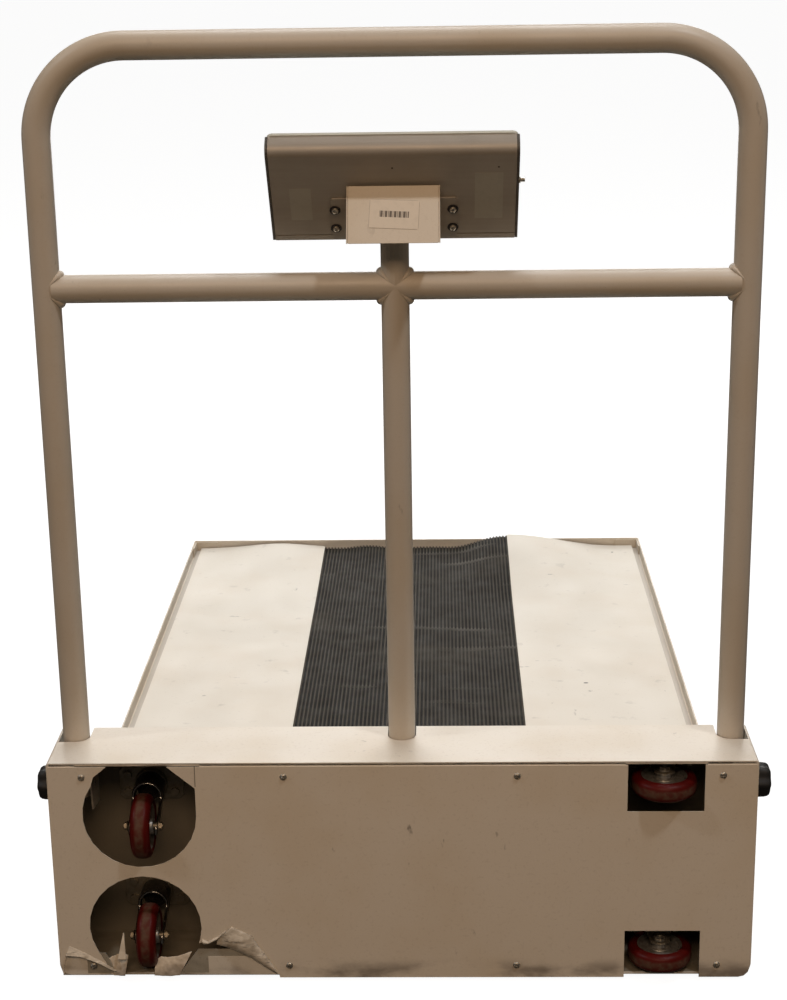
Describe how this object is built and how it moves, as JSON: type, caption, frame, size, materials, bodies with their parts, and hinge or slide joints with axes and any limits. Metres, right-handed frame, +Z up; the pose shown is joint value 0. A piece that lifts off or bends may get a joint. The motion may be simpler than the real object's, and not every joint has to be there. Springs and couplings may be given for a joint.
{
  "type": "animal weighing scale",
  "caption": "Walk-on animal weighing scale: low tray platform with a ribbed rubber mat and white side panels, sheet metal housing with casters, folding tube handrail and tilting display.",
  "frame": {"origin": "On the floor, under the middle of the whole scale's footprint.", "axes": "+Z up, +Y from the housing towards the platform's far end, +X to the right seen from behind the housing."},
  "size_m": [0.8624, 1.3036, 1.0872],
  "materials": {
    "cream_enamel": "satin baked enamel",
    "cover_enamel": "satin baked enamel, slightly dirty",
    "zinc_steel": "zinc plated",
    "chromed_steel": "bright nickel chrome",
    "anodised_aluminium": "matt anodised",
    "black_plastic": "moulded satin",
    "red_polyurethane": "dark red polyurethane tread",
    "ribbed_rubber": "ribbed matt rubber",
    "white_panel": "smooth off-white",
    "display_lens": "dark glossy lens",
    "key_grey": "soft grey key",
    "circuit_board": "solder mask"
  },
  "bodies": {
    "base": {"base_housing": "cream_enamel", "rear_cover": "cover_enamel", "cover_screw_1": "zinc_steel", "cover_screw_2": "zinc_steel", "cover_screw_3": "zinc_steel", "cover_screw_4": "zinc_steel", "cover_screw_5": "zinc_steel", "cover_screw_6": "zinc_steel", "cover_screw_7": "zinc_steel", "cover_screw_8": "zinc_steel", "swivel_plate_upper": "zinc_steel", "swivel_plate_lower": "zinc_steel", "rigid_fork_upper": "zinc_steel", "rigid_fork_lower": "zinc_steel", "centre_clevis": "zinc_steel", "platform_tray": "cream_enamel", "ribbed_mat": "ribbed_rubber", "side_panel_left": "white_panel", "side_panel_right": "white_panel", "corner_bracket_left": "white_panel", "corner_bracket_right": "white_panel", "frame_rail_left": "cream_enamel", "frame_rail_right": "cream_enamel", "frame_crossbar": "cream_enamel", "load_cell_near_left": "anodised_aluminium", "load_cell_near_right": "anodised_aluminium", "load_cell_far_left": "anodised_aluminium", "load_cell_far_right": "anodised_aluminium", "foot_near_left": "ribbed_rubber", "foot_near_right": "ribbed_rubber", "foot_far_left": "ribbed_rubber", "foot_far_right": "ribbed_rubber"},
    "handrail": {"handrail_hoop": "cream_enamel", "mid_rail": "cream_enamel", "centre_post": "cream_enamel", "display_stem": "cream_enamel"},
    "display": {"tilt_box": "cream_enamel", "tilt_bolt": "zinc_steel", "bracket_plate": "zinc_steel", "display_housing": "anodised_aluminium", "end_cap_left": "black_plastic", "end_cap_right": "black_plastic", "front_bezel": "white_panel", "display_window": "display_lens", "circuit_board": "circuit_board", "data_socket": "zinc_steel"},
    "key_left": {"key_1": "key_grey"},
    "key_right": {"key_2": "key_grey"},
    "swivel_upper": {"swivel_fork_upper": "chromed_steel"},
    "swivel_lower": {"swivel_fork_lower": "chromed_steel"},
    "wheel_swivel_upper": {"swivel_upper_hub": "zinc_steel", "swivel_upper_tyre": "red_polyurethane"},
    "wheel_swivel_lower": {"swivel_lower_hub": "zinc_steel", "swivel_lower_tyre": "red_polyurethane"},
    "wheel_rigid_upper": {"rigid_upper_hub": "zinc_steel", "rigid_upper_tyre": "red_polyurethane"},
    "wheel_rigid_lower": {"rigid_lower_hub": "zinc_steel", "rigid_lower_tyre": "red_polyurethane"},
    "knob_left": {"lock_knob_left": "black_plastic"},
    "knob_right": {"lock_knob_right": "black_plastic"}
  },
  "joints": [
    {"name": "handrail_fold", "type": "hinge", "parent": "base", "child": "handrail", "pos_m": [0, -0.55975, 0.221], "axis": [-1, 0, 0], "range_deg": [0, 90]},
    {"name": "display_tilt", "type": "hinge", "parent": "handrail", "child": "display", "pos_m": [0, -0.55975, 0.866], "axis": [1, 0, 0], "range_deg": [-15, 20]},
    {"name": "key_left_press", "type": "slide", "parent": "display", "child": "key_left", "axis": [0, -0.809, -0.5878], "range_m": [0, 0.0012], "stiffness_N_per_m": 400},
    {"name": "key_right_press", "type": "slide", "parent": "display", "child": "key_right", "axis": [0, -0.809, -0.5878], "range_m": [0, 0.0012], "stiffness_N_per_m": 400},
    {"name": "swivel_upper_turn", "type": "hinge", "parent": "base", "child": "swivel_upper", "pos_m": [-0.301, -0.55, 0.211], "axis": [0, 1, 0], "continuous": true},
    {"name": "swivel_lower_turn", "type": "hinge", "parent": "base", "child": "swivel_lower", "pos_m": [-0.301, -0.55, 0.069], "axis": [0, 1, 0], "continuous": true},
    {"name": "swivel_upper_wheel_spin", "type": "hinge", "parent": "swivel_upper", "child": "wheel_swivel_upper", "pos_m": [-0.301, -0.61425, 0.1905], "axis": [1, 0, 0], "continuous": true},
    {"name": "swivel_lower_wheel_spin", "type": "hinge", "parent": "swivel_lower", "child": "wheel_swivel_lower", "pos_m": [-0.301, -0.61425, 0.0485], "axis": [1, 0, 0], "continuous": true},
    {"name": "rigid_upper_wheel_spin", "type": "hinge", "parent": "base", "child": "wheel_rigid_upper", "pos_m": [0.301, -0.61425, 0.2435], "axis": [0, 0, 1], "continuous": true},
    {"name": "rigid_lower_wheel_spin", "type": "hinge", "parent": "base", "child": "wheel_rigid_lower", "pos_m": [0.301, -0.61425, 0.0265], "axis": [0, 0, 1], "continuous": true},
    {"name": "knob_left_turn", "type": "hinge", "parent": "base", "child": "knob_left", "pos_m": [-0.405, -0.55975, 0.221], "axis": [1, 0, 0], "range_deg": [0, 540]},
    {"name": "knob_right_turn", "type": "hinge", "parent": "base", "child": "knob_right", "pos_m": [0.405, -0.55975, 0.221], "axis": [1, 0, 0], "range_deg": [0, 540]}
  ]
}
